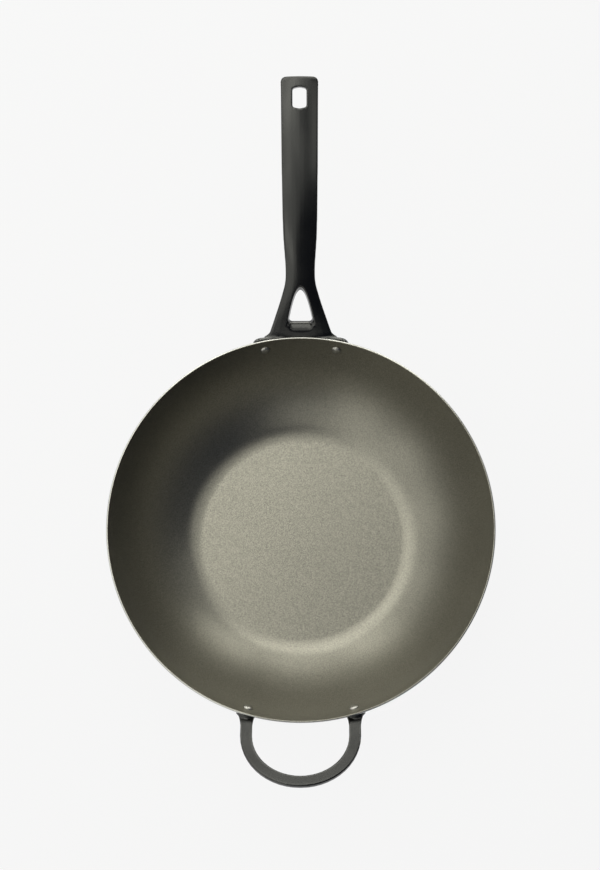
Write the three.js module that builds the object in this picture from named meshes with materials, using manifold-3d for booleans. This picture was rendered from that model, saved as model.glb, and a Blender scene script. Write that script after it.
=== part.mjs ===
// Flat-bottomed wok: pressed steel bowl, long cast handle, loop helper handle and four rivets.
// Millimetres, +Z up. The origin is the centre of the underside of the base.
// The long handle runs out along +Y, the helper handle along -Y.
import * as THREE from "three";
import { mergeVertices } from "three/addons/utils/BufferGeometryUtils.js";
import Module from "manifold-3d";

const wasm = await Module();
wasm.setup();

const DEGREE = Math.PI / 180;

// Bowl
const RIM_DIAMETER = 320;
const BOWL_HEIGHT = 80;
const BASE_DIAMETER = 169; // flat part of the inside
const WALL_THICKNESS = 1.8;
const KNUCKLE_RADIUS = 32; // inside, between base and wall
const WALL_RADIUS = 130; // inside, of the wall's long curve

// Fits
const SEAT_GAP = 0.3; // between faces that lie on one another
const HOLE_CLEARANCE = 0.3; // round a rivet shank, on the radius

// Rivets
const SHANK_DIAMETER = 5;
const HEAD_DIAMETER = 8.6; // domed head inside the bowl
const HEAD_HEIGHT = 2.4;
const TAIL_DIAMETER = 7.6; // upset end outside the handle
const TAIL_HEIGHT = 1.7;
const SPOT_FACE_MARGIN = 0.8; // room for the setting tool round a tail

// Long handle: flange on the wall
const HANDLE_RIVET_SPACING = 60.4;
const HANDLE_RIVET_DROP = 13.2; // below the rim, along the wall
const FLANGE_THICKNESS = 3.2;
const FLANGE_MARGIN = 9.6; // round each rivet
const FLANGE_RISE = 1.7; // more of it up the wall
const FLANGE_CORNER = 6;

// Long handle: side view, the middle line of the top face
const HANDLE_LENGTH = 216; // along the arch, from the wall
const HANDLE_ROOT_SLOPE = 34 * DEGREE;
const HANDLE_TIP_SLOPE = 12 * DEGREE;
const HANDLE_ROOT_DROP = 1.5; // top face below the rim, at the wall

// Long handle: widths, and where along the arch they lie
const LEG_ROOT_WIDTH = 54.2;
const CROTCH_WIDTH = 30.8;
const CROTCH_AT = 36;
const NECK_WIDTH = 24.8;
const NECK_AT = 50;
const GRIP_WIDTH = 28.4;
const GRIP_AT = 92;
const BUTT_WIDTH = 31;
const BUTT_CORNER = 4.5;

// Long handle: section
const HANDLE_THICKNESS = 7.6; // at the middle
const HANDLE_CROWN = 1.5; // rise of the top face from edge to middle
const HANDLE_EDGE = 1.3; // rounding of the long edges
const HANDLE_DRAFT = 1.4; // underside narrower than the top, each side
const ROOT_DRAFT = 5; // more of it where the legs pass the rivets
const ROOT_LENGTH = 18; // over which the legs change towards the flange
const LEG_FLARE = 3.2; // fillet of each leg's outer edge against the flange
const FLARE_LENGTH = 4.4;
const POCKET_DEPTH = 3.6; // hollow along the underside of the grip
const POCKET_RIM = 5; // left standing round the hollow
const POCKET_FROM_NECK = 14;
const POCKET_FROM_BUTT = 36;

// Long handle: window between the legs and hanging slot
const WINDOW_TOP = 44.4; // along the arch, on the top face
const WINDOW_LEAN = 5.6; // its point lies that much lower on the underside
const WINDOW_SHOULDER = 5.4; // half width that its rounded point aims at
const WINDOW_WIDTH = 22.8; // on the top face, at the crossbar
const WINDOW_FOOT_WIDTH = 33.6; // on the top face, at the wall
const WINDOW_SPLAY = 1.7; // narrower on the underside, each side
const WINDOW_CORNER = 3; // rounding of its two lower corners
const CROSSBAR_AT = 3.8; // where its rounding leaves the top face
const CROSSBAR_ROUNDING = 8.2;
const SLOT_WIDTH = 11.4;
const SLOT_LENGTH = 17.4;
const SLOT_CORNER = 2.4;
const SLOT_BOW = 0.6; // of its two short ends
const SLOT_FROM_END = 8.8;

// Helper handle
const HELPER_RIVET_SPACING = 86.6;
const HELPER_RIVET_DROP = 16.4; // below the rim, along the wall
const PAD_THICKNESS = 3.2;
const PAD_MARGIN = 8.2; // round the rivet
const PAD_RISE = 5.5; // more of it up the wall
const PAD_CORNER = 7;
const LOOP_RADIUS = 43.6; // middle of the bar
const LOOP_REACH = 59; // outer edge of the top face beyond the rim, along the loop's own plane
const LOOP_SLOPE = 33 * DEGREE;
const LOOP_ROOT_DROP = 1.5; // top face below the rim, at the wall
const BAR_WIDTH = 9.8;
const BAR_THICKNESS = 5;
const BAR_EDGE = 1;
const BAR_DRAFT = 0.5;
const FOOT_FLARE = 2; // each side of a leg, where it joins its pad
const FOOT_LENGTH = 8;

// Casting draft on the rims of flange and pads, sideways per millimetre of depth
const RIM_DRAFT = 0.12;

// Fineness of the curves
const BOWL_STEPS = 96;
const KNUCKLE_STEPS = 5;
const WALL_STEPS = 9;
const RIVET_STEPS = 24;
const DOME_STEPS = 4;
const CORNER_STEPS = 6;
const EDGE_STEPS = 3;
const ARC_STEPS = 12;
const ARCH_STEPS = 34;
const LOOP_STEPS = 42;
const CROWN_STEPS = 4;

const WELD = 1e-5;
const REACH = 30; // length of cutters past what they cut
const PAD_REACH = 14; // the same for the outlines of flange and pads, square to the wall

const X_AXIS = new THREE.Vector3(1, 0, 0);

// Solids and meshes

function solid(geometry) {
  const bare = geometry.clone();
  bare.deleteAttribute("normal");
  bare.deleteAttribute("uv");
  const welded = mergeVertices(bare, WELD);
  const corners = welded.index.array;
  const kept = [];
  for (let i = 0; i < corners.length; i += 3) {
    const [a, b, c] = corners.slice(i, i + 3);
    if (a !== b && b !== c && c !== a) {
      kept.push(a, b, c);
    }
  }
  const mesh = new wasm.Mesh({
    numProp: 3,
    vertProperties: Float32Array.from(welded.attributes.position.array),
    triVerts: Uint32Array.from(kept),
  });
  return new wasm.Manifold(mesh);
}

function piece(name, body, material) {
  const { vertProperties, triVerts } = body.getMesh();
  const geometry = new THREE.BufferGeometry();
  geometry.setAttribute("position", new THREE.BufferAttribute(vertProperties, 3));
  geometry.setIndex(new THREE.BufferAttribute(triVerts, 1));
  geometry.computeVertexNormals();
  const mesh = new THREE.Mesh(geometry, material);
  mesh.name = name;
  return mesh;
}

// Body through rings of equally many points, each ring anticlockwise seen from the end it leads to.
function loft(rings) {
  const count = rings[0].length;
  const last = (rings.length - 1) * count;
  const index = [];
  for (let ring = 0; ring < last; ring += count) {
    for (let i = 0; i < count; i += 1) {
      const next = (i + 1) % count;
      index.push(ring + i, ring + next, ring + count + next);
      index.push(ring + i, ring + count + next, ring + count + i);
    }
  }
  for (let i = 1; i + 1 < count; i += 1) {
    index.push(0, i + 1, i);
    index.push(last, last + i, last + i + 1);
  }
  const geometry = new THREE.BufferGeometry();
  geometry.setFromPoints(rings.flat());
  geometry.setIndex(index);
  return solid(geometry);
}

// Body of revolution about Z from a profile in the (radius, height) half plane.
function revolve(profile, steps) {
  return solid(new THREE.LatheGeometry(profile, steps).rotateX(Math.PI / 2));
}

function arc(centre, radius, from, to, steps) {
  return Array.from({ length: steps + 1 }, (_, i) => {
    const angle = THREE.MathUtils.lerp(from, to, i / steps);
    return new THREE.Vector2(
      centre.x + radius * Math.cos(angle),
      centre.y + radius * Math.sin(angle),
    );
  });
}

// Bowl section. A slope is the angle of the wall above the horizontal,
// an offset is the distance outwards from the inside face.

const knuckleCentre = new THREE.Vector2(BASE_DIAMETER / 2, WALL_THICKNESS + KNUCKLE_RADIUS);
const rimEdge = new THREE.Vector2(RIM_DIAMETER / 2, BOWL_HEIGHT);

// The wall's curve passes through the rim edge and runs smoothly into the knuckle.
function findWallCentre() {
  const toRim = WALL_RADIUS + WALL_THICKNESS;
  const toKnuckle = WALL_RADIUS - KNUCKLE_RADIUS;
  const across = knuckleCentre.clone().sub(rimEdge);
  const span = across.length();
  const along = (toRim ** 2 - toKnuckle ** 2 + span ** 2) / (2 * span);
  const aside = Math.sqrt(toRim ** 2 - along ** 2);
  const unit = across.divideScalar(span);
  const normal = new THREE.Vector2(unit.y, -unit.x);
  return rimEdge.clone().addScaledVector(unit, along).addScaledVector(normal, aside);
}

const wallCentre = findWallCentre();
const kneeSlope = Math.atan2(knuckleCentre.x - wallCentre.x, wallCentre.y - knuckleCentre.y);

function wallPoint(slope, offset) {
  const onWall = slope > kneeSlope;
  const centre = onWall ? wallCentre : knuckleCentre;
  const radius = (onWall ? WALL_RADIUS : KNUCKLE_RADIUS) + offset;
  return new THREE.Vector2(
    centre.x + radius * Math.sin(slope),
    centre.y - radius * Math.cos(slope),
  );
}

function slopeAt(height, offset) {
  return Math.acos((wallCentre.y - height) / (WALL_RADIUS + offset));
}

function wallRun(from, to, offset, steps) {
  return Array.from({ length: steps + 1 }, (_, i) => {
    return wallPoint(THREE.MathUtils.lerp(from, to, i / steps), offset);
  });
}

const seatOffset = WALL_THICKNESS + SEAT_GAP;
const rimSlope = slopeAt(BOWL_HEIGHT, WALL_THICKNESS);

// Frame on the wall: x round the bowl, y up the wall, z straight out of it, origin on the inside face.
function wallFrame(azimuth, slope) {
  const foot = wallPoint(slope, 0);
  const outward = new THREE.Vector3(Math.cos(azimuth), Math.sin(azimuth), 0);
  const round = new THREE.Vector3(-Math.sin(azimuth), Math.cos(azimuth), 0);
  const up = outward.clone().multiplyScalar(Math.cos(slope)).setZ(Math.sin(slope));
  const out = outward.clone().multiplyScalar(Math.sin(slope)).setZ(-Math.cos(slope));
  const place = outward.clone().multiplyScalar(foot.x).setZ(foot.y);
  return new THREE.Matrix4().makeBasis(round, up, out).setPosition(place);
}

function rivetSlope(drop) {
  return rimSlope - drop / (WALL_RADIUS + WALL_THICKNESS);
}

// Angle of a rivet off the middle of its handle.
function rivetTurn(spacing, drop) {
  return Math.asin(spacing / 2 / wallPoint(rivetSlope(drop), WALL_THICKNESS).x);
}

function rivetFrames(middle, spacing, drop) {
  const turn = rivetTurn(spacing, drop);
  return [middle - turn, middle + turn].map((azimuth) => wallFrame(azimuth, rivetSlope(drop)));
}

const HANDLE_SIDE = 90 * DEGREE;
const HELPER_SIDE = 270 * DEGREE;
const handleRivets = rivetFrames(HANDLE_SIDE, HANDLE_RIVET_SPACING, HANDLE_RIVET_DROP);
const helperRivets = rivetFrames(HELPER_SIDE, HELPER_RIVET_SPACING, HELPER_RIVET_DROP);

function placed(body, frame) {
  return body.transform(frame.toArray());
}

// Bowl

function makeRivetHoles() {
  const radius = SHANK_DIAMETER / 2 + HOLE_CLEARANCE;
  const hole = revolve(
    [
      new THREE.Vector2(0, -REACH),
      new THREE.Vector2(radius, -REACH),
      new THREE.Vector2(radius, REACH),
      new THREE.Vector2(0, REACH),
    ],
    RIVET_STEPS,
  );
  const frames = [...handleRivets, ...helperRivets];
  return frames.map((frame) => placed(hole, frame)).reduce((all, one) => all.add(one));
}

const rivetHoles = makeRivetHoles();

function makeBowl() {
  const innerRim = slopeAt(BOWL_HEIGHT, 0);
  const sheet = revolve(
    [
      new THREE.Vector2(0, 0),
      ...wallRun(0, kneeSlope, WALL_THICKNESS, KNUCKLE_STEPS),
      ...wallRun(kneeSlope, rimSlope, WALL_THICKNESS, WALL_STEPS).slice(1),
      ...wallRun(innerRim, kneeSlope, 0, WALL_STEPS),
      ...wallRun(kneeSlope, 0, 0, KNUCKLE_STEPS).slice(1),
      new THREE.Vector2(0, WALL_THICKNESS),
    ],
    BOWL_STEPS,
  );
  return sheet.subtract(rivetHoles);
}

// Everything that the handles must stay clear of: the bowl, and the space above its mouth.
function makeBowlRoom() {
  const run = wallRun(kneeSlope, rimSlope, seatOffset, WALL_STEPS);
  const top = wallPoint(rimSlope, seatOffset);
  const above = new THREE.Vector2(
    top.x + REACH * Math.cos(rimSlope),
    top.y + REACH * Math.sin(rimSlope),
  );
  return revolve(
    [new THREE.Vector2(0, run[0].y), ...run, above, new THREE.Vector2(0, above.y)],
    BOWL_STEPS,
  );
}

const bowlRoom = makeBowlRoom();

// Plate that follows the outside of the wall, all the way round.
function wallPlate(thickness) {
  const inner = wallRun(kneeSlope, rimSlope, seatOffset, WALL_STEPS);
  const outer = wallRun(kneeSlope, rimSlope, seatOffset + thickness, WALL_STEPS);
  return revolve([...outer, ...inner.reverse(), outer[0]], BOWL_STEPS);
}

// Rectangle with round corners between two opposite points, grown by a margin all round.
function roundedBox(low, high, corner, margin) {
  const inset = corner - margin;
  const centres = [
    new THREE.Vector2(high.x - inset, high.y - inset),
    new THREE.Vector2(low.x + inset, high.y - inset),
    new THREE.Vector2(low.x + inset, low.y + inset),
    new THREE.Vector2(high.x - inset, low.y + inset),
  ];
  return centres.flatMap((centre, i) => {
    return arc(centre, corner, 90 * DEGREE * i, 90 * DEGREE * (i + 1), CORNER_STEPS);
  });
}

// Part of the wall plate inside a drafted outline, which narrows outwards.
function wallPad(thickness, frame, low, high, corner) {
  const rings = [-PAD_REACH, PAD_REACH].map((depth) => {
    const box = roundedBox(low, high, corner, -RIM_DRAFT * (depth - seatOffset));
    return box.map((p) => new THREE.Vector3(p.x, p.y, depth).applyMatrix4(frame));
  });
  return wallPlate(thickness).intersect(loft(rings));
}

// Bar section: crowned top at zero height, rounded long edges, underside a little narrower.
// Anticlockwise in the (sideways, up) plane.
function barSection(halfWidth, depth, crown, edge, draft, shrink) {
  const side = halfWidth - shrink;
  const foot = side - draft;
  const under = shrink - depth;
  const topAt = (x) => -shrink - crown * (x / halfWidth) ** 2;
  const shoulder = side - edge;
  const right = [
    ...arc(new THREE.Vector2(foot - edge, under + edge), edge, -90 * DEGREE, 0, EDGE_STEPS),
    ...arc(new THREE.Vector2(shoulder, topAt(shoulder) - edge), edge, 0, 90 * DEGREE, EDGE_STEPS),
  ];
  for (let i = 1; i < CROWN_STEPS; i += 1) {
    const x = shoulder * (1 - i / CROWN_STEPS);
    right.push(new THREE.Vector2(x, topAt(x)));
  }
  const left = right.map((p) => new THREE.Vector2(-p.x, p.y)).reverse();
  return [...right, new THREE.Vector2(0, topAt(0)), ...left];
}

// One at the start of a length or before it, none past its end.
function nearness(along, length) {
  return THREE.MathUtils.clamp(1 - along / length, 0, 1);
}

// Rounding of an outline's corner: how much narrower it is at a distance from the end.
function cornerLoss(fromEnd, radius) {
  const inside = Math.max(radius - fromEnd, 0);
  return radius - Math.sqrt(radius ** 2 - inside ** 2);
}

// Long handle

const archRate = (HANDLE_ROOT_SLOPE - HANDLE_TIP_SLOPE) / HANDLE_LENGTH;
const rootHeight = BOWL_HEIGHT - HANDLE_ROOT_DROP;
const rootRadius = wallPoint(slopeAt(rootHeight, seatOffset), seatOffset).x;

// Frame on the arch: x across, y along the handle, z up out of its top face.
function archFrame(along) {
  const slope = HANDLE_ROOT_SLOPE - archRate * along;
  const ahead = new THREE.Vector3(0, Math.cos(slope), Math.sin(slope));
  const up = new THREE.Vector3(0, -Math.sin(slope), Math.cos(slope));
  const place = new THREE.Vector3(
    0,
    rootRadius + (Math.sin(HANDLE_ROOT_SLOPE) - Math.sin(slope)) / archRate,
    rootHeight + (Math.cos(slope) - Math.cos(HANDLE_ROOT_SLOPE)) / archRate,
  );
  return new THREE.Matrix4().makeBasis(X_AXIS, ahead, up).setPosition(place);
}

// Half the width along the arch, as (along, half width) points.
function handleOutline() {
  const legRate = (LEG_ROOT_WIDTH - CROTCH_WIDTH) / 2 / CROTCH_AT;
  const curve = new THREE.CatmullRomCurve3([
    new THREE.Vector3(-CROTCH_AT, LEG_ROOT_WIDTH / 2 + legRate * CROTCH_AT),
    new THREE.Vector3(0, LEG_ROOT_WIDTH / 2),
    new THREE.Vector3(CROTCH_AT, CROTCH_WIDTH / 2),
    new THREE.Vector3(NECK_AT, NECK_WIDTH / 2),
    new THREE.Vector3(GRIP_AT, GRIP_WIDTH / 2),
    new THREE.Vector3(HANDLE_LENGTH, BUTT_WIDTH / 2),
  ]);
  return curve.getPoints(ARCH_STEPS).filter((p) => p.x > -REACH);
}

const outline = handleOutline();

function halfWidthAt(along) {
  const next = outline.findIndex((p) => p.x > along);
  const after = outline.at(next);
  const before = outline.at(next > 0 ? next - 1 : -2);
  const share = (along - before.x) / (after.x - before.x);
  return THREE.MathUtils.lerp(before.y, after.y, share);
}

function archRing(section, along) {
  const frame = archFrame(along);
  return section.map((p) => new THREE.Vector3(p.x, 0, p.y).applyMatrix4(frame));
}

function handleSection(along) {
  const fromEnd = HANDLE_LENGTH - along;
  const flare = LEG_FLARE * nearness(along, FLARE_LENGTH) ** 2;
  const halfWidth = halfWidthAt(along) + flare - cornerLoss(fromEnd, BUTT_CORNER);
  const draft = HANDLE_DRAFT + flare + ROOT_DRAFT * nearness(along, ROOT_LENGTH);
  const shrink = cornerLoss(fromEnd, HANDLE_EDGE);
  return barSection(halfWidth, HANDLE_THICKNESS, HANDLE_CROWN, HANDLE_EDGE, draft, shrink);
}

function makeBar() {
  const middle = outline.map((p) => p.x);
  const stations = middle.filter((x) => x < 0);
  for (let i = 0; i < CORNER_STEPS; i += 1) {
    stations.push((FLARE_LENGTH * i) / CORNER_STEPS);
  }
  stations.push(...middle.filter((x) => x > FLARE_LENGTH && x < HANDLE_LENGTH - BUTT_CORNER));
  for (let i = 0; i <= CORNER_STEPS; i += 1) {
    const turn = (90 * DEGREE * i) / CORNER_STEPS;
    stations.push(HANDLE_LENGTH - BUTT_CORNER * (1 - Math.sin(turn)));
  }
  return loft(stations.reverse().map((along) => archRing(handleSection(along), along)));
}

// Hollow along the underside of the grip, round at both ends.
function makePocket() {
  const from = NECK_AT + POCKET_FROM_NECK;
  const to = HANDLE_LENGTH - POCKET_FROM_BUTT;
  const ceiling = POCKET_DEPTH - HANDLE_THICKNESS;
  const stations = Array.from({ length: ARCH_STEPS + 1 }, (_, i) => {
    return THREE.MathUtils.lerp(from, to, (1 + Math.cos((Math.PI * i) / ARCH_STEPS)) / 2);
  });
  const rings = stations.map((along) => {
    const full = halfWidthAt(along) - HANDLE_DRAFT - POCKET_RIM;
    const toEnd = Math.min(along - from, to - along);
    const half = full - cornerLoss(toEnd, full - HANDLE_EDGE);
    const section = [
      new THREE.Vector2(-half, -HANDLE_THICKNESS - REACH),
      new THREE.Vector2(half, -HANDLE_THICKNESS - REACH),
      new THREE.Vector2(half, ceiling - HANDLE_EDGE),
      new THREE.Vector2(half - HANDLE_EDGE / 2, ceiling),
      new THREE.Vector2(HANDLE_EDGE / 2 - half, ceiling),
      new THREE.Vector2(-half, ceiling - HANDLE_EDGE),
    ];
    return archRing(section, along);
  });
  return loft(rings);
}

// Window between the legs: pointed arch, narrower on the underside, open down to the crossbar.
function makeWindow() {
  const foot = CROSSBAR_AT + CROSSBAR_ROUNDING;
  const frame = archFrame(foot);
  const rings = [2 * HANDLE_THICKNESS, -HANDLE_THICKNESS].map((depth) => {
    const share = depth / HANDLE_THICKNESS;
    const splay = WINDOW_SPLAY * share;
    const height = WINDOW_TOP - WINDOW_LEAN * share - foot;
    const arch = new THREE.QuadraticBezierCurve(
      new THREE.Vector2(WINDOW_WIDTH / 2 - splay, 0),
      new THREE.Vector2(WINDOW_SHOULDER - splay / 2, height),
      new THREE.Vector2(0, height),
    ).getPoints(ARC_STEPS);
    const right = [new THREE.Vector2(WINDOW_FOOT_WIDTH / 2 - splay, -foot), ...arch];
    const left = right.slice(0, -1).map((p) => new THREE.Vector2(-p.x, p.y)).reverse();
    return [...right, ...left].map((p) => new THREE.Vector3(p.x, p.y, -depth).applyMatrix4(frame));
  });
  return loft(rings).subtract(makeCrossbar());
}

// Rounded bar that the legs stand on, across the foot of the window. It rises into both lower corners.
function makeCrossbar() {
  const frame = archFrame(CROSSBAR_AT);
  const half = WINDOW_WIDTH / 2 - WINDOW_SPLAY;
  const bends = Array.from({ length: CORNER_STEPS + 1 }, (_, i) => {
    return half - WINDOW_CORNER * (1 - Math.sin((90 * DEGREE * i) / CORNER_STEPS));
  });
  const right = [...bends, LEG_ROOT_WIDTH / 2];
  const left = right.map((x) => -x).reverse();
  const rings = [...left, ...right].map((x) => {
    const rise = cornerLoss(Math.max(half - Math.abs(x), 0), WINDOW_CORNER);
    const centre = new THREE.Vector2(rise, -CROSSBAR_ROUNDING);
    const section = [
      new THREE.Vector2(-REACH, -REACH),
      new THREE.Vector2(rise + CROSSBAR_ROUNDING, -REACH),
      ...arc(centre, CROSSBAR_ROUNDING, 0, 90 * DEGREE, ARC_STEPS),
      new THREE.Vector2(-REACH, 0),
    ];
    return section.map((p) => new THREE.Vector3(x, p.x, p.y).applyMatrix4(frame));
  });
  return loft(rings);
}

function makeSlot() {
  const half = SLOT_WIDTH / 2;
  const end = SLOT_LENGTH / 2;
  const flat = end - SLOT_BOW;
  const shape = new THREE.Shape();
  shape.moveTo(half, SLOT_CORNER - flat);
  shape.lineTo(half, flat - SLOT_CORNER);
  shape.quadraticCurveTo(half, flat, half - SLOT_CORNER, flat);
  shape.quadraticCurveTo(0, end + SLOT_BOW, SLOT_CORNER - half, flat);
  shape.quadraticCurveTo(-half, flat, -half, flat - SLOT_CORNER);
  shape.lineTo(-half, SLOT_CORNER - flat);
  shape.quadraticCurveTo(-half, -flat, SLOT_CORNER - half, -flat);
  shape.quadraticCurveTo(0, -end - SLOT_BOW, half - SLOT_CORNER, -flat);
  shape.quadraticCurveTo(half, -flat, half, SLOT_CORNER - flat);
  const cutter = new THREE.ExtrudeGeometry(shape, {
    depth: 2 * REACH,
    bevelEnabled: false,
    curveSegments: CORNER_STEPS,
  });
  cutter.translate(0, 0, -REACH);
  return placed(solid(cutter), archFrame(HANDLE_LENGTH - SLOT_FROM_END - end));
}

// Flat seats for the rivet tails, cut square to each rivet.
function spotFaces(frames, thickness) {
  const seat = seatOffset + thickness;
  const radius = TAIL_DIAMETER / 2 + SPOT_FACE_MARGIN;
  const cutter = revolve(
    [
      new THREE.Vector2(0, seat),
      new THREE.Vector2(radius, seat),
      new THREE.Vector2(radius, seat + REACH),
      new THREE.Vector2(0, seat + REACH),
    ],
    RIVET_STEPS,
  );
  return frames.map((frame) => placed(cutter, frame)).reduce((all, cut) => all.add(cut));
}

function makeLongHandle() {
  const half = HANDLE_RIVET_SPACING / 2 + FLANGE_MARGIN;
  const flange = wallPad(
    FLANGE_THICKNESS,
    wallFrame(HANDLE_SIDE, rivetSlope(HANDLE_RIVET_DROP)),
    new THREE.Vector2(-half, -FLANGE_MARGIN),
    new THREE.Vector2(half, FLANGE_MARGIN + FLANGE_RISE),
    FLANGE_CORNER,
  );
  return makeBar()
    .subtract(makeWindow())
    .subtract(makePocket())
    .subtract(makeSlot())
    .subtract(bowlRoom)
    .subtract(spotFaces(handleRivets, FLANGE_THICKNESS))
    .add(flange)
    .subtract(rivetHoles);
}

// Helper handle

// Frame of the loop: x across, y outwards along the loop, z up out of its top face.
function loopFrame() {
  const height = BOWL_HEIGHT - LOOP_ROOT_DROP;
  const radius = wallPoint(slopeAt(height, seatOffset), seatOffset).x;
  const across = new THREE.Vector3(-1, 0, 0);
  const out = new THREE.Vector3(0, -Math.cos(LOOP_SLOPE), Math.sin(LOOP_SLOPE));
  const up = new THREE.Vector3(0, Math.sin(LOOP_SLOPE), Math.cos(LOOP_SLOPE));
  return new THREE.Matrix4().makeBasis(across, out, up).setPosition(0, -radius, height);
}

// Middle line of the bar in the loop's plane, from one foot round to the other.
function loopPath() {
  const bend = LOOP_REACH - BAR_WIDTH / 2 - LOOP_RADIUS;
  const foot = -REACH;
  const path = new THREE.CurvePath();
  path.add(
    new THREE.LineCurve(new THREE.Vector2(LOOP_RADIUS, foot), new THREE.Vector2(LOOP_RADIUS, bend)),
  );
  path.add(new THREE.EllipseCurve(0, bend, LOOP_RADIUS, LOOP_RADIUS, 0, Math.PI));
  path.add(
    new THREE.LineCurve(new THREE.Vector2(-LOOP_RADIUS, bend), new THREE.Vector2(-LOOP_RADIUS, foot)),
  );
  return path;
}

function makeLoop() {
  const frame = loopFrame();
  const path = loopPath();
  const wallAt = -RIM_DIAMETER / 2 + Math.sqrt((RIM_DIAMETER / 2) ** 2 - LOOP_RADIUS ** 2);
  const footAt = wallAt / Math.cos(LOOP_SLOPE);
  const rings = Array.from({ length: LOOP_STEPS + 1 }, (_, i) => {
    const share = i / LOOP_STEPS;
    const middle = path.getPointAt(share);
    const ahead = path.getTangentAt(share);
    const half = BAR_WIDTH / 2 + FOOT_FLARE * nearness(middle.y - footAt, FOOT_LENGTH) ** 2;
    const section = barSection(half, BAR_THICKNESS, 0, BAR_EDGE, BAR_DRAFT, 0);
    return section.map((p) => {
      const point = new THREE.Vector3(middle.x - p.x * ahead.y, middle.y + p.x * ahead.x, p.y);
      return point.applyMatrix4(frame);
    });
  });
  return loft(rings);
}

function makeHelperHandle() {
  const pads = [-1, 1].map((side) => {
    const turn = rivetTurn(HELPER_RIVET_SPACING, HELPER_RIVET_DROP);
    const frame = wallFrame(HELPER_SIDE + side * turn, rivetSlope(HELPER_RIVET_DROP));
    const low = new THREE.Vector2(-PAD_MARGIN, -PAD_MARGIN);
    const high = new THREE.Vector2(PAD_MARGIN, PAD_MARGIN + PAD_RISE);
    return wallPad(PAD_THICKNESS, frame, low, high, PAD_CORNER);
  });
  return makeLoop()
    .subtract(bowlRoom)
    .subtract(spotFaces(helperRivets, PAD_THICKNESS))
    .add(pads[0])
    .add(pads[1])
    .subtract(rivetHoles);
}

// Rivets

// Spherical cap over a flat round seat, from its edge to its crown.
function dome(diameter, height) {
  const radius = ((diameter / 2) ** 2 + height ** 2) / (2 * height);
  const reach = Math.asin(diameter / 2 / radius);
  return Array.from({ length: DOME_STEPS + 1 }, (_, i) => {
    const angle = reach * (1 - i / DOME_STEPS);
    const rise = radius * Math.cos(angle) - radius + height;
    return new THREE.Vector2(radius * Math.sin(angle), rise);
  });
}

function makeRivet(thickness) {
  const seat = -SEAT_GAP;
  const tail = seatOffset + thickness + SEAT_GAP;
  const shank = SHANK_DIAMETER / 2;
  const head = dome(HEAD_DIAMETER, HEAD_HEIGHT).reverse();
  return revolve(
    [
      ...head.map((p) => new THREE.Vector2(p.x, seat - p.y)),
      new THREE.Vector2(shank, seat),
      new THREE.Vector2(shank, tail),
      ...dome(TAIL_DIAMETER, TAIL_HEIGHT).map((p) => new THREE.Vector2(p.x, tail + p.y)),
    ],
    RIVET_STEPS,
  );
}

// Finishes

function finish(colour, metalness, roughness) {
  return new THREE.MeshStandardMaterial({ color: colour, metalness, roughness });
}

const bowlCoating = finish(0x8f8b7d, 0.8, 0.45);
const blackEnamel = finish(0x1c1c1c, 0.2, 0.5);
const bareSteel = finish(0xc4c4c2, 1, 0.3);

// A handle and its two rivets, each rivet set in the wall by its own frame.
function riveted(handle, rivet, frames, names) {
  const group = new THREE.Group().add(handle);
  names.forEach((name, i) => {
    const mesh = piece(name, rivet, bareSteel);
    mesh.applyMatrix4(frames[i]);
    group.add(mesh);
  });
  return group;
}

const wok = new THREE.Group();
wok.name = "wok";
wok.add(
  piece("bowl", makeBowl(), bowlCoating),
  riveted(
    piece("long_handle", makeLongHandle(), blackEnamel),
    makeRivet(FLANGE_THICKNESS),
    handleRivets,
    ["handle_rivet_right", "handle_rivet_left"],
  ),
  riveted(
    piece("helper_handle", makeHelperHandle(), blackEnamel),
    makeRivet(PAD_THICKNESS),
    helperRivets,
    ["helper_rivet_left", "helper_rivet_right"],
  ),
);

export default wok;
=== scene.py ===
"""Looks of a flat-bottomed wok, made round its solids.

Metres, +Z up. The origin is the centre of the underside of the base, the long
handle runs out along +Y and the helper handle along -Y.
"""

import logging
import math
from bisect import bisect
from dataclasses import dataclass, field
from enum import Enum
from typing import Any

import bmesh
import bpy
from mathutils import Euler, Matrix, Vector


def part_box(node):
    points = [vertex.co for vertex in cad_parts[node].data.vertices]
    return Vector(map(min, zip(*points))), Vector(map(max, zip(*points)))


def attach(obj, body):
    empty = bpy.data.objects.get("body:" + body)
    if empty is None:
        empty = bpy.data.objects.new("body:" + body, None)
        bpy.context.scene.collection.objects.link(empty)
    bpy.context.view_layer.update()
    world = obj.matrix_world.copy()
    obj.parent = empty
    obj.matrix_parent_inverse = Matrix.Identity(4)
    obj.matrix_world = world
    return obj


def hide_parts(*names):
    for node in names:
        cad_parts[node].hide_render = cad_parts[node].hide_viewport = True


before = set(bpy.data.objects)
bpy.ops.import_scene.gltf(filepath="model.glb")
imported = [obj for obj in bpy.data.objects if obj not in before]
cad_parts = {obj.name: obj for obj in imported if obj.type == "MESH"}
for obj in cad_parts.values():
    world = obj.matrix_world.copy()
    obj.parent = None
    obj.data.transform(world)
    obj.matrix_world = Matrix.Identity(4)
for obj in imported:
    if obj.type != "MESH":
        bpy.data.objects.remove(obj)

log = logging.getLogger("wok")

MM = 0.001
JOIN_DISTANCE = 0.001 * MM
UP = Vector((0.0, 0.0, 1.0))
BODY = "root"

Colour = tuple[float, float, float]
Point = tuple[float, float]


class Slot(Enum):
    """Material slots of the record."""

    BOWL_COATING = "bowl_coating"
    BLACK_ENAMEL = "black_enamel"
    BARE_STEEL = "bare_steel"


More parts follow.
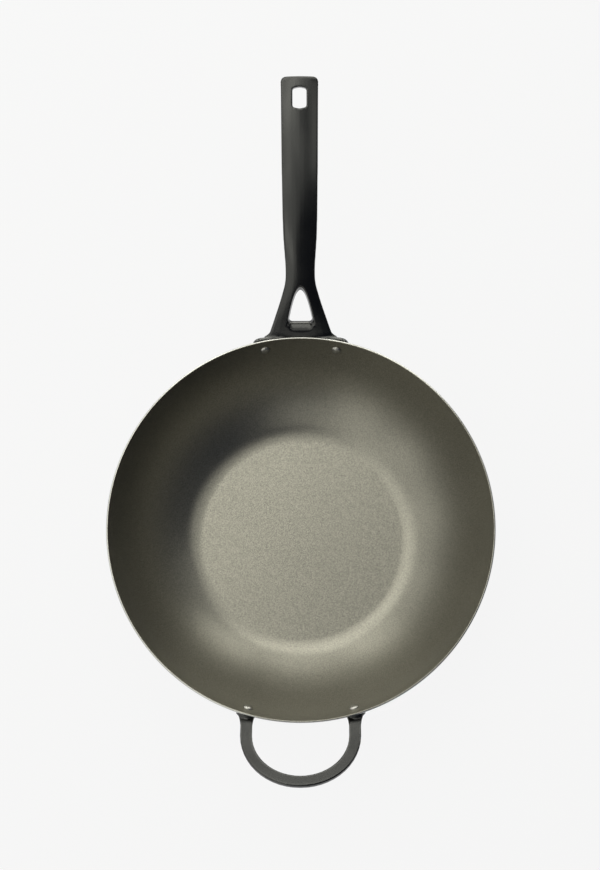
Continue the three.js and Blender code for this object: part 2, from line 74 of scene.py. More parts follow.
class NodeGraph:
    """A node tree that is filled one node at a time."""

    def __init__(self, tree: bpy.types.NodeTree) -> None:
        """Keep the tree.

        Args:
            tree: Shader or geometry tree to fill.
        """
        self.tree = tree

    def add(
        self, kind: str, inputs: dict[str, Any] | None = None, **settings: Any
    ) -> bpy.types.Node:
        """Add a node.

        Args:
            kind: Blender's name of the node type.
            inputs: Values or output sockets for its inputs, by input name.
            settings: Properties of the node itself.

        Returns:
            The new node.
        """
        node = self.tree.nodes.new(kind)
        for name, value in settings.items():
            setattr(node, name, value)
        for name, value in (inputs or {}).items():
            self.feed(node, name, value)
        return node

    def feed(self, node: bpy.types.Node, name: str | int, value: Any) -> None:
        """Set or link one input.

        Args:
            node: Node that takes the value.
            name: Name or number of the input.
            value: Plain value, or the output socket to link from.
        """
        socket = node.inputs[name]
        if isinstance(value, bpy.types.NodeSocket):
            self.tree.links.new(value, socket)
        else:
            socket.default_value = value

    def maths(self, operation: str, *values: Any) -> bpy.types.NodeSocket:
        """Add a math node.

        Args:
            operation: Blender's name of the operation.
            values: Numbers or output sockets, in order.

        Returns:
            The node's output socket.
        """
        node = self.add("ShaderNodeMath", operation=operation)
        for number, value in enumerate(values):
            self.feed(node, number, value)
        return node.outputs[0]


class FinishGraph(NodeGraph):
    """A material's nodes round one Principled shader."""

    NOISE_LOW, NOISE_HIGH = 0.3, 0.7
    # Numbers of a mix node's sockets when it mixes colours.
    MIX_SHARE, MIX_FIRST, MIX_SECOND, MIX_RESULT = 0, 6, 7, 2

    def __init__(self, name: str) -> None:
        """Make the material.

        Args:
            name: Name of the finish.
        """
        self.material = bpy.data.materials.new(name)
        self.material.use_nodes = True
        super().__init__(self.material.node_tree)
        self.tree.nodes.clear()
        self.shader = self.add("ShaderNodeBsdfPrincipled")
        output = self.add("ShaderNodeOutputMaterial")
        self.feed(output, "Surface", self.shader.outputs["BSDF"])
        self.place = self.add("ShaderNodeTexCoord").outputs["Object"]

    def shade(self, name: str, value: Any) -> None:
        """Set or link one input of the shader."""
        self.feed(self.shader, name, value)

    def noise(self, grain: float, detail: float = 2.0) -> bpy.types.NodeSocket:
        """Add smooth noise.

        Args:
            grain: Size of its features, in metres.
            detail: Octaves of finer noise on top.

        Returns:
            Value socket, about one half on average.
        """
        inputs = {"Vector": self.place, "Scale": 1 / grain, "Detail": detail}
        return self.add("ShaderNodeTexNoise", inputs).outputs["Fac"]

    def spread(
        self, value: bpy.types.NodeSocket, low: float, high: float
    ) -> bpy.types.NodeSocket:
        """Map noise to a range.

        Args:
            value: Noise, mostly from NOISE_LOW to NOISE_HIGH.
            low: Result at NOISE_LOW and below.
            high: Result at NOISE_HIGH and above.

        Returns:
            Value socket.
        """
        inputs = {
            "Value": value,
            "From Min": self.NOISE_LOW,
            "From Max": self.NOISE_HIGH,
            "To Min": low,
            "To Max": high,
        }
        return self.add("ShaderNodeMapRange", inputs).outputs["Result"]

    def blend(self, share: Any, first: Any, second: Any) -> bpy.types.NodeSocket:
        """Mix two colours.

        Args:
            share: Share of the second, as a number or socket.
            first: Colour or socket at share 0.
            second: Colour or socket at share 1.

        Returns:
            Colour socket.
        """
        node = self.add("ShaderNodeMix", data_type="RGBA")
        self.feed(node, self.MIX_SHARE, share)
        for number, value in ((self.MIX_FIRST, first), (self.MIX_SECOND, second)):
            self.feed(node, number, (*value, 1.0) if isinstance(value, tuple) else value)
        return node.outputs[self.MIX_RESULT]

    def vary_roughness(
        self, noise: bpy.types.NodeSocket, usual: float, below: float, above: float
    ) -> None:
        """Let the shader's roughness follow noise.

        Args:
            noise: Noise that it follows.
            usual: Roughness in the middle of the range.
            below: How much smoother it gets.
            above: How much rougher it gets.
        """
        self.shade("Roughness", self.spread(noise, usual - below, usual + above))

    def bump(self, height: bpy.types.NodeSocket, depth: float) -> None:
        """Give the surface a fine relief.

        Args:
            height: Height from 0 to 1.
            depth: Metres between the two.
        """
        node = self.add("ShaderNodeBump", {"Height": height, "Distance": depth, "Strength": 1.0})
        self.shade("Normal", node.outputs["Normal"])


@dataclass(frozen=True)
class FlakeCoating:
    """Warm grey non-stick coating with fine metal flakes in it."""

    colour: Colour = (0.325, 0.31, 0.263)
    dark_colour: Colour = (0.12, 0.115, 0.098)
    metal: float = 1.0
    roughness: float = 0.37
    roughness_drift: float = 0.02
    clear_coat: float = 0.7
    flake: float = 0.52 * MM
    cloud: float = 60 * MM
    peel: float = 1.4 * MM
    peel_depth: float = 0.012 * MM

    def material(self) -> bpy.types.Material:
        """Build the finish."""
        graph = FinishGraph("flake_coating")
        grain = graph.noise(self.flake, detail=1.0)
        sparkle = graph.spread(grain, 0.0, 1.0)
        graph.shade("Base Color", graph.blend(sparkle, self.dark_colour, self.colour))
        graph.shade("Metallic", self.metal)
        graph.shade("Coat Weight", self.clear_coat)
        graph.shade("Coat Roughness", self.roughness)
        drift = self.roughness_drift
        graph.vary_roughness(graph.noise(self.cloud), self.roughness, drift, drift)
        graph.bump(graph.noise(self.peel), self.peel_depth)
        return graph.material


@dataclass(frozen=True)
class BlackEnamel:
    """Satin black baked enamel over a casting."""

    colour: Colour = (0.0035, 0.0035, 0.0035)
    roughness: float = 0.2
    roughness_drift: float = 0.03
    specular: float = 0.58
    mottle: float = 8 * MM
    mottle_gain: float = 1.25
    wear: float = 25 * MM
    peel: float = 0.9 * MM
    peel_depth: float = 0.01 * MM

    def material(self) -> bpy.types.Material:
        """Build the finish."""
        graph = FinishGraph("black_enamel")
        pale = tuple(self.mottle_gain * part for part in self.colour)
        graph.shade("Base Color", graph.blend(graph.noise(self.mottle), self.colour, pale))
        graph.shade("Specular IOR Level", self.specular)
        drift = self.roughness_drift
        graph.vary_roughness(graph.noise(self.wear), self.roughness, drift, drift)
        graph.bump(graph.noise(self.peel), self.peel_depth)
        return graph.material


@dataclass(frozen=True)
class BareSteel:
    """Plain steel, cut or upset and left uncoated."""

    name: str
    colour: Colour = (0.565, 0.56, 0.54)
    dull_colour: Colour = (0.4, 0.395, 0.383)
    roughness: float = 0.28
    smoother: float = 0.05
    rougher: float = 0.07
    grain: float = 0.6 * MM

    def material(self) -> bpy.types.Material:
        """Build the finish."""
        graph = FinishGraph(self.name)
        grain = graph.noise(self.grain)
        graph.shade("Base Color", graph.blend(grain, self.colour, self.dull_colour))
        graph.shade("Metallic", 1.0)
        graph.vary_roughness(grain, self.roughness, self.smoother, self.rougher)
        return graph.material


CUT_EDGE = BareSteel("cut_steel")
RIVET = BareSteel("rivet_steel", (0.39, 0.383, 0.365), (0.295, 0.289, 0.277), 0.32)


@dataclass
class Finishes:
    """Every finish of the wok, made once."""

    coating: bpy.types.Material = field(default_factory=lambda: FlakeCoating().material())
    enamel: bpy.types.Material = field(default_factory=lambda: BlackEnamel().material())
    cut_steel: bpy.types.Material = field(default_factory=lambda: CUT_EDGE.material())
    rivet_steel: bpy.types.Material = field(default_factory=lambda: RIVET.material())


class GeometryGraph(NodeGraph):
    """A geometry tree with named inputs, which ends in one mesh."""

    def __init__(self, name: str, inputs: dict[str, str]) -> None:
        """Make the tree.

        Args:
            name: Name of the tree.
            inputs: Socket type of each input, by input name.
        """
        super().__init__(bpy.data.node_groups.new(name, "GeometryNodeTree"))
        shape = {"Geometry": "NodeSocketGeometry"}
        for side, sockets in (("INPUT", shape | inputs), ("OUTPUT", shape)):
            for label, kind in sockets.items():
                self.tree.interface.new_socket(label, in_out=side, socket_type=kind)
        self.given = self.add("NodeGroupInput").outputs

    def attribute(self, name: str, kind: str) -> bpy.types.NodeSocket:
        """Read a named attribute.

        Args:
            name: Name of the attribute.
            kind: Its data type.

        Returns:
            Socket with its value.
        """
        node = self.add("GeometryNodeInputNamedAttribute", {"Name": name}, data_type=kind)
        return node.outputs["Attribute"]

    def whole(self, kind: str, first: Any, second: Any) -> bpy.types.NodeSocket:
        """Add a whole-number math node.

        Args:
            kind: Blender's name of the operation.
            first: Number or socket.
            second: Number or socket.

        Returns:
            The node's output socket.
        """
        node = self.add("FunctionNodeIntegerMath", operation=kind)
        self.feed(node, 0, first)
        self.feed(node, 1, second)
        return node.outputs[0]

    def close(self, geometry: bpy.types.NodeSocket) -> None:
        """Send the geometry to the output.

        Args:
            geometry: Last geometry socket.
        """
        self.feed(self.add("NodeGroupOutput"), "Geometry", geometry)

    def run(self, base: bpy.types.Mesh, name: str, values: dict[str, Any]) -> bpy.types.Mesh:
        """Evaluate the tree into a plain mesh.

        Args:
            base: Mesh that goes into the tree.
            name: Name of the new mesh.
            values: Value of each named input.

        Returns:
            The finished mesh.
        """
        holder = bpy.data.objects.new(name, base)
        bpy.context.scene.collection.objects.link(holder)
        modifier = holder.modifiers.new(self.tree.name, "NODES")
        modifier.node_group = self.tree
        for item in self.tree.interface.items_tree:
            if item.in_out == "INPUT" and item.name in values:
                modifier[item.identifier] = values[item.name]
        mesh = evaluated_mesh(holder, name)
        bpy.data.objects.remove(holder)
        return mesh


def evaluated_mesh(holder: bpy.types.Object, name: str) -> bpy.types.Mesh:
    """Turn an object with modifiers into a plain mesh with its faces out.

    Args:
        holder: Object whose modifiers are evaluated.
        name: Name of the new mesh.

    Returns:
        A mesh of its own.
    """
    graph = bpy.context.evaluated_depsgraph_get()
    mesh = bpy.data.meshes.new_from_object(holder.evaluated_get(graph))
    mesh.name = name
    shell = bmesh.new()
    shell.from_mesh(mesh)
    bmesh.ops.recalc_face_normals(shell, faces=shell.faces)
    shell.to_mesh(mesh)
    shell.free()
    mesh.shade_smooth()
    return mesh


def show(mesh: bpy.types.Mesh, slot: Slot, *nodes: str) -> bpy.types.Object:
    """Put a finished mesh in the scene in place of its solids.

    Args:
        mesh: Finished mesh, whose name the piece takes.
        slot: Slot of the record that its finish belongs to; not used.
        nodes: Solids that the piece stands for.

    Returns:
        The piece.
    """
    piece = bpy.data.objects.new(mesh.name, mesh)
    bpy.context.scene.collection.objects.link(piece)
    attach(piece, BODY)
    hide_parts(*nodes)
    log.info("%s: %d faces, stands for %s", piece.name, len(mesh.polygons), ", ".join(nodes))
    return piece


def arc(centre: Point, radius: float, start: float, end: float, steps: int) -> list[Point]:
    """Points on an arc in the plane of radius and height.

    Args:
        centre: Centre of the arc.
        radius: Its radius.
        start: First angle, in radians.
        end: Last angle, in radians.
        steps: Number of chords.

    Returns:
        The points, both ends included.
    """
    across, up = centre
    angles = (start + (end - start) * i / steps for i in range(steps + 1))
    return [(across + radius * math.cos(a), up + radius * math.sin(a)) for a in angles]


class Lathe:
    """Turns a profile about the Z axis."""

    EDGE = "bare_edge"

    def __init__(self) -> None:
        """Build the tree."""
        graph = GeometryGraph(
            "lathe",
            {
                "Steps": "NodeSocketInt",
                "Body Finish": "NodeSocketMaterial",
                "Edge Finish": "NodeSocketMaterial",
            },
        )
        given = graph.given
        size = graph.add("GeometryNodeAttributeDomainSize", {"Geometry": given["Geometry"]})
        count = size.outputs["Point Count"]
        columns = graph.whole("ADD", given["Steps"], 1)
        grid = graph.add("GeometryNodeMeshGrid", {"Vertices X": columns, "Vertices Y": count})
        index = graph.add("GeometryNodeInputIndex").outputs["Index"]
        turn = graph.whole("DIVIDE_FLOOR", index, count)
        along = graph.whole("MODULO", index, count)
        share = graph.maths("DIVIDE", turn, given["Steps"])
        angle = graph.maths("MULTIPLY", share, math.tau)
        place = graph.add("GeometryNodeInputPosition").outputs["Position"]
        point = self.sampled(graph, along, "FLOAT_VECTOR", place)
        spun = graph.add(
            "ShaderNodeVectorRotate",
            {"Vector": point, "Angle": angle},
            rotation_type="Z_AXIS",
        )
        mark = graph.attribute(self.EDGE, "BOOLEAN")
        edge = self.sampled(graph, along, "BOOLEAN", mark)
        marked = graph.add(
            "GeometryNodeStoreNamedAttribute",
            {"Geometry": grid.outputs["Mesh"], "Name": self.EDGE, "Value": edge},
            data_type="BOOLEAN",
            domain="POINT",
        )
        moved = graph.add(
            "GeometryNodeSetPosition",
            {"Geometry": marked.outputs["Geometry"], "Position": spun.outputs["Vector"]},
        )
        closed = graph.add(
            "GeometryNodeMergeByDistance",
            {"Geometry": moved.outputs["Geometry"], "Distance": JOIN_DISTANCE},
        )
        real = graph.add(
            "GeometryNodeRealizeInstances",
            {"Geometry": closed.outputs["Geometry"]},
        )
        body = graph.add(
            "GeometryNodeSetMaterial",
            {"Geometry": real.outputs["Geometry"], "Material": given["Body Finish"]},
        )
        trim = graph.add(
            "GeometryNodeSetMaterial",
            {
                "Geometry": body.outputs["Geometry"],
                "Selection": graph.attribute(self.EDGE, "BOOLEAN"),
                "Material": given["Edge Finish"],
            },
        )
        graph.close(trim.outputs["Geometry"])
        self.graph = graph

    def sampled(
        self,
        graph: GeometryGraph,
        index: bpy.types.NodeSocket,
        kind: str,
        value: bpy.types.NodeSocket,
    ) -> bpy.types.NodeSocket:
        """Read a value off the profile.

        Args:
            graph: Tree that the node goes into.
            index: Point of the profile.
            kind: Data type of the value.
            value: Field to read there.

        Returns:
            Socket with the value.
        """
        node = graph.add("GeometryNodeSampleIndex", data_type=kind)
        graph.feed(node, "Geometry", graph.given["Geometry"])
        graph.feed(node, "Value", value)
        graph.feed(node, "Index", index)
        return node.outputs["Value"]

    def turn(
        self,
        name: str,
        profile: list[Point],
        edge: range,
        steps: int,
        finish: bpy.types.Material,
        edge_finish: bpy.types.Material,
    ) -> bpy.types.Mesh:
        """Turn one profile.

        Args:
            name: Name of the mesh.
            profile: Points as radius and height, from axis to axis.
            edge: Points of the profile that take the edge's finish.
            steps: Facets in one turn.
            finish: Finish of the body.
            edge_finish: Finish of the edge.

        Returns:
            The turned mesh.
        """
        wire = bpy.data.meshes.new(f"{name}_profile")
        count = len(profile)
        points = [(radius, 0.0, height) for radius, height in profile]
        wire.from_pydata(points, [(i, i + 1) for i in range(count - 1)], [])
        flags = wire.attributes.new(self.EDGE, "BOOLEAN", "POINT")
        flags.data.foreach_set("value", [i in edge for i in range(count)])
        values = {"Steps": steps, "Body Finish": finish, "Edge Finish": edge_finish}
        mesh = self.graph.run(wire, name, values)
        bpy.data.meshes.remove(wire)
        return mesh


@dataclass
class Bowl:
    """Pressed bowl: flat base, knuckle, curved wall and plain cut rim."""

    base_radius: float = 84.5 * MM
    thickness: float = 1.8 * MM
    knuckle_radius: float = 32 * MM
    wall_radius: float = 130 * MM
    outer_rounding: float = 1.1 * MM
    inner_rounding: float = 0.6 * MM
    steps: int = 320
    wall_steps: int = 48
    knuckle_steps: int = 16
    base_steps: int = 8
    rim_steps: int = 6
    rim_radius: float = field(init=False)
    height: float = field(init=False)
    knuckle: Vector = field(init=False)
    wall: Vector = field(init=False)
    knee_slope: float = field(init=False)
    rim_slope: float = field(init=False)

    # The faces stop this many roundings below the rim, so that its first facet is no sliver.
    RIM_MARGIN = 2

    def __post_init__(self) -> None:
        """Take the rim from the solid, then work out the two arcs' centres and end slopes."""
        low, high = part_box("bowl")
        self.rim_radius = high.x
        self.height = high.z - low.z
        self.knuckle = Vector((self.base_radius, self.thickness + self.knuckle_radius))
        rim = Vector((self.rim_radius, self.height))
        to_rim = self.wall_radius + self.thickness
        to_knuckle = self.wall_radius - self.knuckle_radius
        across = self.knuckle - rim
        span = across.length
        along = (to_rim**2 - to_knuckle**2 + span**2) / (2 * span)
        aside = math.sqrt(to_rim**2 - along**2)
        unit = across / span
        self.wall = rim + unit * along + Vector((unit.y, -unit.x)) * aside
        gap = self.knuckle - self.wall
        self.knee_slope = math.atan2(gap.x, -gap.y)
        self.rim_slope = self.slope_at(self.height, self.thickness)

    def slope_at(self, height: float, offset: float) -> float:
        """Slope of the wall.

        Args:
            height: Height above the underside.
            offset: Distance outwards from the inside face.

        Returns:
            Angle above the horizontal, in radians.
        """
        return math.acos((self.wall.y - height) / (self.wall_radius + offset))

    def point(self, slope: float, offset: float) -> Point:
        """Point of the section.

        Args:
            slope: Angle of the sheet above the horizontal.
            offset: Distance outwards from the inside face.

        Returns:
            Radius and height.
        """
        on_wall = slope > self.knee_slope
        centre = self.wall if on_wall else self.knuckle
        radius = (self.wall_radius if on_wall else self.knuckle_radius) + offset
        return (centre.x + radius * math.sin(slope), centre.y - radius * math.cos(slope))

    def run(self, start: float, end: float, offset: float, steps: int) -> list[Point]:
        """Points of the section between two slopes.

        Args:
            start: First slope.
            end: Last slope.
            offset: Distance outwards from the inside face.
            steps: Number of chords.

        Returns:
            The points, both ends included.
        """
        return [self.point(start + (end - start) * i / steps, offset) for i in range(steps + 1)]

    def face(self, offset: float, top: float) -> list[Point]:
        """One face of the sheet, from the axis up to the rim.

        Args:
            offset: Distance outwards from the inside face.
            top: Slope where the face ends below the rim.

        Returns:
            The points in order.
        """
        level = self.thickness - offset
        base = [(self.base_radius * i / self.base_steps, level) for i in range(self.base_steps)]
        knuckle = self.run(0.0, self.knee_slope, offset, self.knuckle_steps)
        wall = self.run(self.knee_slope, top, offset, self.wall_steps)
        return [*base, *knuckle, *wall[1:]]

    def rim(self) -> list[Point]:
        """Rounded cut edge, from the outside face over to the inside face."""
        big, small = self.outer_rounding, self.inner_rounding
        outer = self.point(self.slope_at(self.height - big, self.thickness), self.thickness)
        inner = self.point(self.slope_at(self.height - small, 0.0), 0.0)
        top = math.pi / 2
        lean = top - self.rim_slope
        outer_centre = (outer[0] - big, self.height - big)
        inner_centre = (inner[0] + small, self.height - small)
        outside = arc(outer_centre, big, -lean, top, self.rim_steps)
        inside = arc(inner_centre, small, top, math.pi - lean, self.rim_steps)
        return [*outside, *inside]

    def build(self, lathe: Lathe, finishes: Finishes) -> bpy.types.Object:
        """Turn the bowl and show it.

        Args:
            lathe: Tool that turns the section.
            finishes: Finishes of the wok.

        Returns:
            The piece.
        """
        outer_end = self.height - self.RIM_MARGIN * self.outer_rounding
        inner_end = self.height - self.RIM_MARGIN * self.inner_rounding
        outside = self.face(self.thickness, self.slope_at(outer_end, self.thickness))
        inside = self.face(0.0, self.slope_at(inner_end, 0.0))
        profile = [*outside, *self.rim(), *reversed(inside)]
        # Only the rounding on the outside is bare; the coating wraps over the inner one.
        edge = range(len(outside), len(outside) + self.rim_steps + 1)
        mesh = lathe.turn(
            "wok_bowl", profile, edge, self.steps, finishes.coating, finishes.cut_steel
        )
        return show(mesh, Slot.BOWL_COATING, "bowl")


@dataclass
class RivetSet:
    """Four domed rivets through the wall of the bowl."""

    shank_diameter: float = 5 * MM
    head_diameter: float = 8.6 * MM
    head_height: float = 2.0 * MM
    tail_diameter: float = 7.6 * MM
    tail_height: float = 1.7 * MM
    flange_gap: float = 0.3 * MM
    flange: float = 3.2 * MM
    handle_spacing: float = 60.4 * MM
    handle_drop: float = 13.2 * MM
    helper_spacing: float = 86.6 * MM
    helper_drop: float = 16.4 * MM
    dome_steps: int = 14
    steps: int = 40

    OUT = "out"
    NODES = (
        "handle_rivet_left",
        "handle_rivet_right",
        "helper_rivet_left",
        "helper_rivet_right",
    )

    def dome(self, diameter: float, height: float) -> list[Point]:
        """Button with a flat crown and a round shoulder, from its edge to its crown.

        Args:
            diameter: Diameter at the edge.
            height: Rise of the crown.

        Returns:
            Points as radius and height.
        """
        quarter = arc((0.0, 0.0), 1.0, 0.0, math.pi / 2, self.dome_steps)
        return [(diameter / 2 * across, height * up) for across, up in quarter]

    def profile(self, thickness: float) -> list[Point]:
        """Section of a rivet, head first.

        Args:
            thickness: Of the bowl's sheet.

        Returns:
            Points as radius and distance outwards from the inside face.
        """
        tail = thickness + self.flange_gap + self.flange
        inner = reversed(self.dome(self.head_diameter, self.head_height))
        outer = self.dome(self.tail_diameter, self.tail_height)
        head = [(across, -up) for across, up in inner]
        end = [(across, tail + up) for across, up in outer]
        shank = self.shank_diameter / 2
        return [*head, (shank, 0.0), (shank, tail), *end]

    def seats(self, bowl: Bowl) -> list[tuple[Vector, Vector]]:
        """Where the rivets sit.

        Args:
            bowl: The bowl that they go through.

        Returns:
            Place on the inside face and outward direction of each rivet.
        """
        found = []
        rows = (
            (1, self.handle_spacing, self.handle_drop),
            (-1, self.helper_spacing, self.helper_drop),
        )
        for side, spacing, drop in rows:
            slope = bowl.rim_slope - drop / (bowl.wall_radius + bowl.thickness)
            turn = math.asin(spacing / 2 / bowl.point(slope, bowl.thickness)[0])
            radius, height = bowl.point(slope, 0.0)
            for angle in (-turn, turn):
                outward = Vector((math.sin(angle), side * math.cos(angle), 0.0))
                place = outward * radius + UP * height
                found.append((place, outward * math.sin(slope) - UP * math.cos(slope)))
        return found

    def setting_tree(self) -> GeometryGraph:
        """Build the tree that sets a rivet at each seat."""
        inputs = {"Rivet": "NodeSocketObject", "Finish": "NodeSocketMaterial"}
        graph = GeometryGraph("rivet_setting", inputs)
        rivet = graph.add("GeometryNodeObjectInfo", {"Object": graph.given["Rivet"]})
        facing = graph.add(
            "FunctionNodeAlignRotationToVector",
            {"Vector": graph.attribute(self.OUT, "FLOAT_VECTOR")},
            axis="Z",
        )
        placed = graph.add(
            "GeometryNodeInstanceOnPoints",
            {
                "Points": graph.given["Geometry"],
                "Instance": rivet.outputs["Geometry"],
                "Rotation": facing.outputs["Rotation"],
            },
        )
        real = graph.add(
            "GeometryNodeRealizeInstances",
            {"Geometry": placed.outputs["Instances"]},
        )
        done = graph.add(
            "GeometryNodeSetMaterial",
            {"Geometry": real.outputs["Geometry"], "Material": graph.given["Finish"]},
        )
        graph.close(done.outputs["Geometry"])
        return graph

    def build(self, bowl: Bowl, lathe: Lathe, finishes: Finishes) -> bpy.types.Object:
        """Turn one rivet, set it four times and show the set.

        Args:
            bowl: The bowl that the rivets go through.
            lathe: Tool that turns the rivet.
            finishes: Finishes of the wok.

        Returns:
            The piece.
        """
        steel = finishes.rivet_steel
        profile = self.profile(bowl.thickness)
        pattern = lathe.turn("rivet", profile, range(0), self.steps, steel, steel)
        rivet = bpy.data.objects.new("rivet", pattern)
        seats = self.seats(bowl)
        points = bpy.data.meshes.new("rivet_seats")
        points.from_pydata([place for place, _ in seats], [], [])
        outward = points.attributes.new(self.OUT, "FLOAT_VECTOR", "POINT")
        outward.data.foreach_set("vector", [part for _, out in seats for part in out])
        mesh = self.setting_tree().run(points, "wall_rivets", {"Rivet": rivet, "Finish": steel})
        bpy.data.objects.remove(rivet)
        return show(mesh, Slot.BARE_STEEL, *self.NODES)


@dataclass
class CastHandle:
    """A casting in black enamel, with every edge and corner softly rounded."""

    node: str
    name: str
    voxel: float = 0.55 * MM
    softening: float = 0.5
    rounding: int = 7

    def solid(self) -> bpy.types.Mesh:
        """Copy of the solid with its loose triangles joined."""
        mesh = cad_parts[self.node].data.copy()
        shell = bmesh.new()
        shell.from_mesh(mesh)
        bmesh.ops.remove_doubles(shell, verts=shell.verts, dist=JOIN_DISTANCE)
        shell.to_mesh(mesh)
        shell.free()
        return mesh

    def modified(self, mesh: bpy.types.Mesh, kind: str, **settings: Any) -> bpy.types.Mesh:
        """Put a mesh through one modifier.

        Args:
            mesh: Mesh to change, which is used up.
            kind: Blender's name of the modifier type.
            settings: Properties of the modifier.

        Returns:
            The new mesh.
        """
        holder = bpy.data.objects.new(self.name, mesh)
        bpy.context.scene.collection.objects.link(holder)
        modifier = holder.modifiers.new(kind.lower(), kind)
        for name, value in settings.items():
            setattr(modifier, name, value)
        result = evaluated_mesh(holder, self.name)
        bpy.data.objects.remove(holder)
        bpy.data.meshes.remove(mesh)
        return result

    def refine(self, skin: bpy.types.Mesh, solid: bpy.types.Mesh) -> None:
        """Leave the skin as it is; a handle with a rule of its own trues it here."""

    def build(self, finishes: Finishes) -> bpy.types.Object:
        """Skin the solid again with rounded edges and show it.

        Args:
            finishes: Finishes of the wok.

        Returns:
            The piece.
        """
        solid = self.solid()
        skin = self.modified(solid.copy(), "REMESH", mode="VOXEL", voxel_size=self.voxel)
        self.refine(skin, solid)
        soft = self.modified(skin, "SMOOTH", factor=self.softening, iterations=self.rounding)
        bpy.data.meshes.remove(solid)
        soft.materials.clear()
        soft.materials.append(finishes.enamel)
        soft.name = self.name
        return show(soft, Slot.BLACK_ENAMEL, self.node)


@dataclass
class ArchedHandle(CastHandle):
    """The long handle. Its top face is an arch, which the solid makes of flat facets."""

    bowl: Bowl = field(default_factory=Bowl)
    root_slope: float = math.radians(34)
    tip_slope: float = math.radians(12)
    length: float = 216 * MM
    root_drop: float = 1.5 * MM
    seat_gap: float = 0.3 * MM
    crown_depth: float = 1.8 * MM
    slot_half_width: float = 5.9 * MM
    trued_depth: float = 2.0 * MM
    faded_depth: float = 4.0 * MM
    radius: float = field(init=False)
    centre: Vector = field(init=False)

    # Fewest vertices of the solid that make a ring, and the largest step of slope within one.
    RING_POINTS = 4
    SAME_RING = 1e-5

    def __post_init__(self) -> None:
        """Work out the arch's radius and centre."""
        self.radius = self.length / (self.root_slope - self.tip_slope)
        offset = self.bowl.thickness + self.seat_gap
        slope = self.bowl.slope_at(self.bowl.height - self.root_drop, offset)
        root = Vector((0.0, *self.bowl.point(slope, offset)))
        out = Vector((0.0, -math.sin(self.root_slope), math.cos(self.root_slope)))
        self.centre = root - out * self.radius

    def on_arch(self, place: Vector) -> tuple[float, float]:
        """Place of a point on the arch.

        Args:
            place: Point of the handle.

        Returns:
            Slope of the arch there, and depth under its top.
        """
        arm = place - self.centre
        return math.atan2(-arm.y, arm.z), self.radius - math.hypot(arm.y, arm.z)

    def rings(self, solid: bpy.types.Mesh) -> list[float]:
        """Slopes at which the solid's facets meet.

        Args:
            solid: Joined mesh of the solid.

        Returns:
            The slopes in rising order.
        """
        top = []
        for vertex in solid.vertices:
            slope, depth = self.on_arch(vertex.co)
            if depth < self.crown_depth and abs(vertex.co.x) > self.slot_half_width:
                top.append(slope)
        runs: list[list[float]] = []
        for slope in sorted(top):
            if runs and slope - runs[-1][-1] < self.SAME_RING:
                runs[-1].append(slope)
            else:
                runs.append([slope])
        return [sum(run) / len(run) for run in runs if len(run) >= self.RING_POINTS]

    def refine(self, skin: bpy.types.Mesh, solid: bpy.types.Mesh) -> None:
        """Lift the top's flat facets to the true arc.

        Args:
            skin: Fine mesh, which is changed.
            solid: Joined mesh of the solid.
        """
        rings = self.rings(solid)
        log.info("%s: arch trued over %d rings", self.name, len(rings))
        for vertex in skin.vertices:
            slope, depth = self.on_arch(vertex.co)
            after = bisect(rings, slope)
            if not 0 < after < len(rings):
                continue
            first, last = rings[after - 1], rings[after]
            lift = math.cos(slope - (first + last) / 2) / math.cos((last - first) / 2) - 1
            share = (self.faded_depth - depth) / (self.faded_depth - self.trued_depth)
            arm = vertex.co - self.centre
            vertex.co += Vector((0.0, arm.y, arm.z)) * lift * min(max(share, 0.0), 1.0)


@dataclass(frozen=True)
class SoftboxRow:
    """Row of square softboxes on an arc round the bowl, all of one level."""

    name: str
    elevation: float
    first: float
    last: float
    count: int
    level: float
    distance: float = 1.3
    size: float = 0.5
    colour: Colour = (1.0, 1.0, 0.9)

    def build(self, aim: Vector) -> None:
        """Hang the row.

        Args:
            aim: Point that every box faces.
        """
        gap = (self.last - self.first) / max(self.count - 1, 1)
        height = math.radians(self.elevation)
        for number in range(self.count):
            data = bpy.data.lights.new(f"{self.name}_{number + 1}", "AREA")
            data.size = self.size
            # The power at which the face of the box has the level as its radiance.
            data.energy = self.level * math.pi * self.size**2
            data.color = self.colour
            lamp = bpy.data.objects.new(data.name, data)
            bearing = math.radians(self.first + gap * number)
            flat = Vector((math.cos(bearing), math.sin(bearing), 0.0)) * math.cos(height)
            away = flat + UP * math.sin(height)
            lamp.location = aim + away * self.distance
            lamp.rotation_euler = (-away).to_track_quat("-Z", "Y").to_euler()
            bpy.context.scene.collection.objects.link(lamp)


@dataclass(frozen=True)
class Camera:
    """Camera almost straight above the bowl, a little towards the helper handle."""

    place: tuple[float, float, float] = (0.01812, -0.22385, 1.56309)
    tilt: float = math.radians(11.425)
    lean: float = math.radians(0.72)
    lens: float = 75.686

    def build(self) -> None:
        """Set up the camera and make it the scene's."""
        data = bpy.data.cameras.new("camera")
        data.lens = self.lens
        camera = bpy.data.objects.new("camera", data)
        camera.location = self.place
        camera.rotation_euler = Euler((self.tilt, self.lean, 0.0))
        bpy.context.scene.collection.objects.link(camera)
        bpy.context.scene.camera = camera


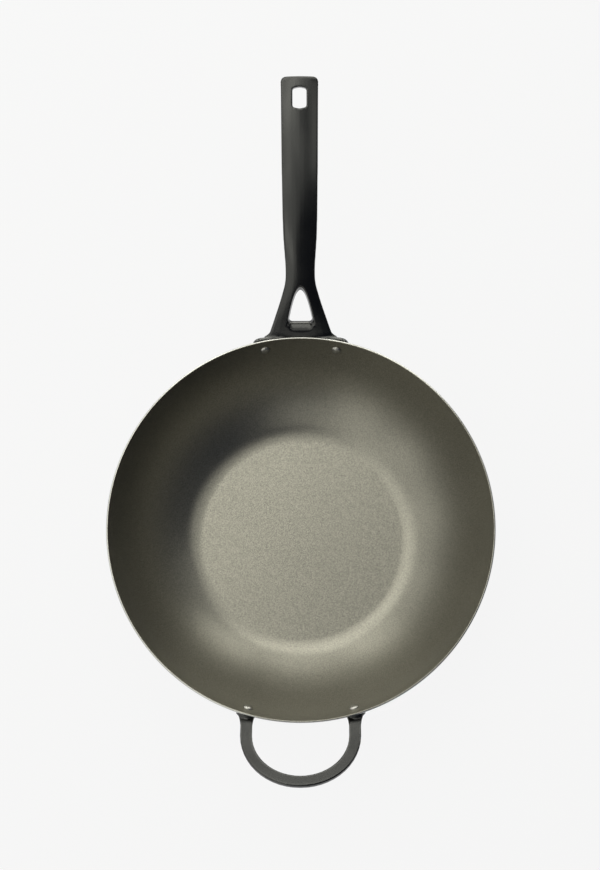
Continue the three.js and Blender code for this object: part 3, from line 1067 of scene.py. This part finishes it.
@dataclass(frozen=True)
class Studio:
    """Pale floor, dim surroundings and soft lights."""

    backdrop: float = 0.9216
    shadow_share: float = 0.03
    surround: Colour = (0.009, 0.017, 0.043)
    floor_reach: float = 30.0
    floor_drop: float = 0.2 * MM
    aim: tuple[float, float, float] = (0.0, 0.0, 0.05)
    lights: tuple[SoftboxRow, ...] = (
        SoftboxRow("low_back", 12, 60, 120, 3, 4.6),
        SoftboxRow("low_left", 14, 150, 240, 4, 1.45),
        SoftboxRow("middle_corner", 34, 30, 60, 2, 0.6),
        SoftboxRow("middle_back", 38, 78, 102, 2, 1.7),
        SoftboxRow("middle_left", 34, 120, 240, 5, 1.2),
        SoftboxRow("middle_front", 34, 270, 270, 1, 0.85),
        SoftboxRow("middle_right", 34, 300, 360, 3, 0.06),
        SoftboxRow("high_back", 52, 72, 144, 3, 1.7),
        SoftboxRow("high_left", 52, 180, 230, 2, 1.2),
        SoftboxRow("upper_back", 67, 90, 135, 2, 1.5),
        SoftboxRow("upper_left", 67, 180, 225, 2, 0.95),
        SoftboxRow("upper_right", 67, 10, 10, 1, 1.1),
        SoftboxRow("top_left", 80, 120, 180, 2, 0.8, 1.8),
        SoftboxRow("top_front", 82, 240, 300, 2, 0.55, 1.8),
    )

    def floor_material(self) -> bpy.types.Material:
        """Pale floor that looks the same all over, apart from the wok's shadow."""
        material = bpy.data.materials.new("pale_floor")
        material.use_nodes = True
        graph = NodeGraph(material.node_tree)
        graph.tree.nodes.clear()
        rays = graph.add("ShaderNodeLightPath").outputs
        seen = graph.maths("MAXIMUM", rays["Is Camera Ray"], rays["Is Glossy Ray"])
        seen = graph.maths("MAXIMUM", seen, rays["Is Transmission Ray"])
        level = (self.backdrop, self.backdrop, self.backdrop, 1.0)
        glow = graph.add("ShaderNodeEmission", {"Color": level})
        matt = graph.add("ShaderNodeBsdfDiffuse", {"Color": level})
        share = graph.maths("MULTIPLY", seen, 1.0 - self.shadow_share)
        both = graph.add("ShaderNodeMixShader", {"Fac": share})
        graph.feed(both, 1, matt.outputs["BSDF"])
        graph.feed(both, 2, glow.outputs["Emission"])
        output = graph.add("ShaderNodeOutputMaterial")
        graph.feed(output, "Surface", both.outputs["Shader"])
        return material

    def build(self) -> None:
        """Lay the floor, set the surroundings and hang the lights."""
        reach, level = self.floor_reach, -self.floor_drop
        mesh = bpy.data.meshes.new("floor")
        ends = ((-reach, -reach), (reach, -reach), (reach, reach), (-reach, reach))
        mesh.from_pydata([(x, y, level) for x, y in ends], [], [(0, 1, 2, 3)])
        mesh.materials.append(self.floor_material())
        floor = bpy.data.objects.new("floor", mesh)
        bpy.context.scene.collection.objects.link(floor)
        world = bpy.data.worlds.new("surround")
        world.use_nodes = True
        background = world.node_tree.nodes["Background"]
        background.inputs["Color"].default_value = (*self.surround, 1.0)
        bpy.context.scene.world = world
        for row in self.lights:
            row.build(Vector(self.aim))


def main() -> None:
    """Build and dress the wok and light it."""
    logging.basicConfig(level=logging.INFO, format="%(message)s")
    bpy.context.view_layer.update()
    bpy.context.scene.view_settings.view_transform = "Standard"
    Camera().build()
    finishes = Finishes()
    lathe = Lathe()
    bowl = Bowl()
    bowl.build(lathe, finishes)
    RivetSet().build(bowl, lathe, finishes)
    ArchedHandle("long_handle", "grip_handle", bowl=bowl).build(finishes)
    CastHandle("helper_handle", "loop_handle").build(finishes)
    Studio().build()


if __name__ == "__main__":
    main()
